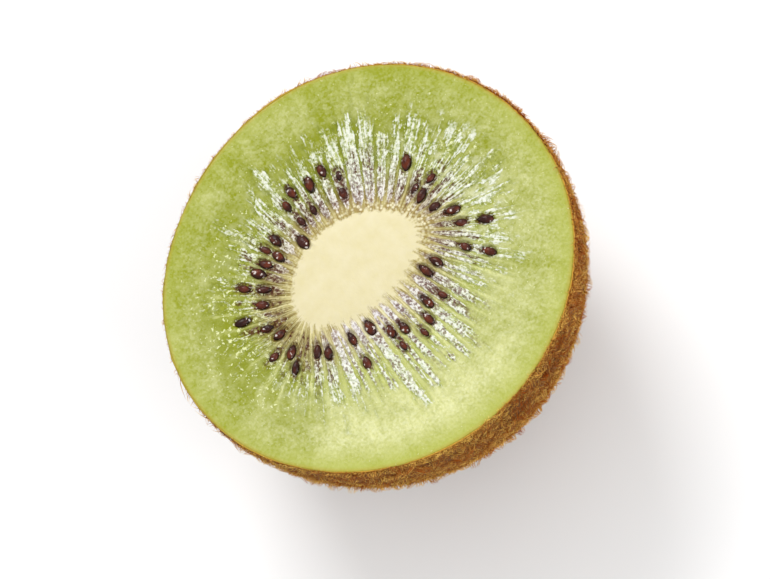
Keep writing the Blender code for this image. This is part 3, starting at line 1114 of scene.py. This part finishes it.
def hair_mesh(name, path, across, thick):
    """A mesh of three-sided prisms, one round each path, which taper to a point."""
    joints = path.shape[1] - 1
    along = unit(path[:, -1] - path[:, 0])
    first_side = unit(np.cross(along, across))
    second_side = np.cross(along, first_side)
    corners = [
        math.cos(corner) * first_side + math.sin(corner) * second_side
        for corner in np.arange(3) * 2 * math.pi / 3
    ]
    rings = [
        path[:, step] + corner * thick * (1 - 0.72 * step / joints)
        for step in range(joints)
        for corner in corners
    ]
    points = np.stack([*rings, path[:, -1]], axis=1)
    faces = [(2, 1, 0)]
    for step in range(joints - 1):
        for side_at in range(3):
            a, b = 3 * step + side_at, 3 * step + (side_at + 1) % 3
            faces += [(a, b, b + 3), (a, b + 3, a + 3)]
    last = 3 * (joints - 1)
    faces += [(last + k, last + (k + 1) % 3, last + 3) for k in range(3)]
    first_points = points.shape[1] * np.arange(len(points))
    faces = np.array(faces)[None] + first_points[:, None, None]
    mesh = bpy.data.meshes.new(name)
    mesh.from_pydata(points.reshape(-1, 3).tolist(), [], faces.reshape(-1, 3).tolist())
    mesh.shade_smooth()
    return mesh


def lay_map(mesh, joints, tone):
    """The bake map, which runs along the hair one way and over the hairs' tones the other."""
    reach = np.array([step / joints for step in range(joints) for _ in range(3)] + [1.0])
    width_on_map = np.array([0.0, 0.01, 0.005] * joints + [0.005])
    u = np.broadcast_to(reach * 0.98 + 0.01, (len(tone), len(reach)))
    v = tone[:, None] + width_on_map[None]
    uv = np.stack((u, v), axis=-1).reshape(-1, 2)
    index = read_out(mesh.loops, "vertex_index", 1, np.int32)[:, 0]
    layer = mesh.uv_layers.new(name="OFBake")
    layer.data.foreach_set("uv", uv[index].astype(np.float32).ravel())


def grow_hairs(name, kind):
    """Joins all hairs of one kind into one piece."""
    rng = np.random.default_rng(kind.seed)
    root, out = skin_places(kind.count, rng, kind.low)
    tuft = nearest_tuft(root, root[rng.choice(kind.count, kind.tufts)])
    side = unit(np.cross(out, np.array((0, 0, 1.0)) + 1e-3))
    turn = np.arctan2(root[:, 1], root[:, 0])
    near_rim = swell(CUT_HEIGHT - 5 * MM, CUT_HEIGHT, root[:, 2])
    shaggy_shaded = towards(turn, SHAGGY_SHADED_SIDES)[0] * near_rim
    path = hair_paths(kind, rng, root, out, side, tuft, shaggy_shaded)
    thick = 0.5 * kind.width * rng.uniform(0.75, 1.25, (kind.count, 1))
    thick = thick * (1 + 0.7 * shaggy_shaded[:, None])
    mesh = hair_mesh(name, path, out + 0.01 * side, thick)

    x, y, z = (root / TONE_PATCH).T
    patch = dapple(x + 0.7 * z, y - 0.6 * z, 256, 74)
    tone = 0.45 * patch + 0.3 * rng.random(kind.tufts)[tuft] + 0.25 * rng.random(kind.count)
    # The shaggy hairs' darker tone is painted shade.
    tone = swell(0.15, 0.85, tone) * (1 - 0.75 * shaggy_shaded)
    lay_map(mesh, kind.joints, kind.tones[0] + (kind.tones[1] - kind.tones[0]) * tone)
    hair = bpy.data.objects.new(name, mesh)
    bpy.context.scene.collection.objects.link(hair)
    return hair


def fuzz_material():
    material, tree, shader = new_material("kiwi_fuzz")
    place = node(tree, "UVMap", uv_map="OFBake").outputs[0]
    parts = node(tree, "SeparateXYZ", {0: place})
    along, tone = parts.outputs[0], parts.outputs[1]
    hair = mixed(tree, spread(tree, tone, 0.1, 0.9), colour(170, 80, 14), colour(255, 214, 108))
    base = mixed(tree, spread(tree, along, 0.0, 0.6), colour(136, 68, 18), hair)
    feed(tree, shader, {"Base Color": base, "Roughness": 0.6, "Specular IOR Level": 0.08})
    return material


# Lean is in radians away from upright on the skin, gather is how closely a tuft's tips meet, rise
# turns the hairs upwards, and no hair grows below low. A pair is a range.
HAIRS = {
    # The undercoat's low tones are painted shade between the tufts.
    "fuzz_undercoat": SimpleNamespace(
        count=44000, joints=1, lengths=(0.35 * MM, 0.65 * MM), width=0.06 * MM, lean=(0.3, 1.2),
        tufts=2500, gather=0.3, tones=(0.02, 0.55), seed=70, low=0.5 * MM, rise=0.0,
    ),
    "fuzz_down": SimpleNamespace(
        count=19500, joints=2, lengths=(0.55 * MM, 1.0 * MM), width=0.06 * MM, lean=(0.6, 1.3),
        tufts=3000, gather=0.5, tones=(0.15, 0.97), seed=71, low=0.5 * MM, rise=0.0,
    ),
    # The bristles' low tones are partly painted shade on the hairs at the outline.
    "fuzz_bristles": SimpleNamespace(
        count=12000, joints=3, lengths=(0.6 * MM, 1.5 * MM), width=0.075 * MM, lean=(0.1, 0.9),
        tufts=1500, gather=0.78, tones=(0.02, 0.85), seed=72, low=0.5 * MM, rise=0.0,
    ),
    "fuzz_rim": SimpleNamespace(
        count=2600, joints=3, lengths=(0.35 * MM, 0.85 * MM), width=0.065 * MM, lean=(0.3, 1.1),
        tufts=700, gather=0.4, tones=(0.3, 0.97), seed=73, low=CUT_HEIGHT - 1.3 * MM, rise=0.8,
    ),
}
fuzz = fuzz_material()
pieces = [grow_hairs(name, kind) for name, kind in HAIRS.items()]
for hair in pieces:
    hair.data.materials.append(fuzz)
    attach(hair, "root")

# ---------------------------------------------------------------------------------------------
# The stem scar. The hard corky button where the stalk broke off, hollowed and cracked by drying,
# which the half stands on. A tube of even rings, folded into a low disc with a cracked underside.
# ---------------------------------------------------------------------------------------------
SCAR_RADIUS = 4.6 * MM
SCAR_HEIGHT = 0.9 * MM
SCAR_COLUMNS = 180
SCAR_RINGS = 36

scar_turns = np.arange(SCAR_COLUMNS) / SCAR_COLUMNS * 2 * math.pi
scar_around = np.arange(SCAR_COLUMNS)[None, :] / SCAR_COLUMNS
scar_share = np.linspace(0, 1, SCAR_RINGS)[:, None]
splits = np.abs(dapple(scar_around * 22, scar_share * 2.2, 22, 91) - 0.5)
cracks = fade(0.01, 0.07, splits) * swell(0.15, 0.4, scar_share)
cracks = cracks * fade(0.84, 0.94, scar_share)
corns = dapple(scar_around * 64, scar_share * 16, 64, 92)
under = (
    0.16 * MM * fade(0.45, 0.75, scar_share)
    + 0.16 * MM * cracks
    + 0.07 * MM * corns
    + 0.3 * MM * np.clip((scar_share - 0.92) / 0.08, 0, 1) ** 2
)
under = under - under.min()
scar_flat = SCAR_RADIUS * scar_share[..., None] * heading(scar_turns)[None]
scar_rows = np.concatenate(
    (
        rows_at(under * swell(0, 0.02, scar_share), scar_flat),
        rows_at(SCAR_HEIGHT, scar_flat[-1:]),
        rows_at(SCAR_HEIGHT, scar_flat[:1]),
    )
)
scar, column, ring = tube("stem_scar", SCAR_COLUMNS, len(scar_rows))
note(scar, "crack", np.concatenate((cracks, 0 * cracks[:2]))[ring, column])
note(scar, "corn", np.concatenate((corns, 0 * corns[:2]))[ring, column])
fold(scar, scar_rows[ring, column])


def scar_material():
    material, tree, shader = new_material("kiwi_scar")
    place = node(tree, "TexCoord").outputs["Object"]
    cork = mottle(tree, place, 900.0, 4.0, 0.6)
    lit = plus(tree, times(tree, cork, 0.6), times(tree, noted(tree, "corn"), 0.4))
    base = mixed(tree, lit, colour(72, 46, 22), colour(142, 102, 58))
    base = mixed(tree, times(tree, noted(tree, "crack"), 0.75), base, colour(58, 36, 20))
    normal = bumped(tree, cork, 0.1 * MM)
    feed(tree, shader, {"Base Color": base, "Normal": normal, "Roughness": 0.85})
    return material


scar.data.materials.append(scar_material())
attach(scar, "root")

# ---------------------------------------------------------------------------------------------
# The studio: a pale floor, a large soft lamp over the far side, a weaker one from the near side,
# and a long lens that looks down on the cut.
# ---------------------------------------------------------------------------------------------
bpy.ops.object.select_all(action="DESELECT")
bpy.ops.mesh.primitive_plane_add(size=4, location=(0, 0, 0))
floor = bpy.context.object
floor.name = "floor"
floor_material, floor_tree, floor_shader = new_material("studio_floor")
feed(floor_tree, floor_shader, {"Base Color": (0.87, 0.87, 0.87, 1), "Roughness": 0.8})
floor.data.materials.append(floor_material)


def lamp(name, azimuth, elevation, distance, size, watts):
    """A square soft lamp that faces the fruit from a direction round it, in degrees."""
    turn, rise = math.radians(azimuth), math.radians(elevation)
    towards_lamp = Vector(
        (math.cos(turn) * math.cos(rise), math.sin(turn) * math.cos(rise), math.sin(rise))
    )
    data = bpy.data.lights.new(name, "AREA")
    data.size = size
    data.energy = watts
    made = bpy.data.objects.new(name, data)
    bpy.context.scene.collection.objects.link(made)
    made.location = towards_lamp * distance + Vector((0, 0, CUT_HEIGHT))
    made.rotation_mode = "QUATERNION"
    made.rotation_quaternion = (-towards_lamp).to_track_quat("-Z", "Y")


lamp("key", azimuth=72, elevation=46, distance=0.6, size=0.3, watts=2.3)
lamp("fill", azimuth=-65, elevation=30, distance=0.7, size=0.5, watts=2.2)

world = bpy.data.worlds.new("studio")
world.use_nodes = True
background = world.node_tree.nodes["Background"]
feed(world.node_tree, background, {"Color": (1, 1, 1, 1), "Strength": 0.8})
bpy.context.scene.world = world

VIEW_ELEVATION = math.radians(69)
VIEW_ROLL = math.radians(43.3)
VIEW_DISTANCE = 0.8
VIEW_WIDTH = 86 * MM  # what the picture's width spans at the fruit
SENSOR_WIDTH = 36  # in millimetres, as a camera takes it
camera_data = bpy.data.cameras.new("camera")
camera = bpy.data.objects.new("camera", camera_data)
bpy.context.scene.collection.objects.link(camera)
back = Vector((0, -math.cos(VIEW_ELEVATION), math.sin(VIEW_ELEVATION)))
target = Vector((0, -1.2 * MM, 0.82 * CUT_HEIGHT))
camera.location = target + back * VIEW_DISTANCE
camera.rotation_mode = "QUATERNION"
camera.rotation_quaternion = (-back).to_track_quat("-Z", "Y")
camera.rotation_quaternion.rotate(Quaternion(back, -VIEW_ROLL))
camera_data.sensor_width = SENSOR_WIDTH
camera_data.lens = SENSOR_WIDTH * VIEW_DISTANCE / VIEW_WIDTH
camera_data.clip_start = 0.05
camera_data.clip_end = 20
bpy.context.scene.camera = camera
bpy.context.scene.view_settings.view_transform = "Standard"

bpy.context.view_layer.update()
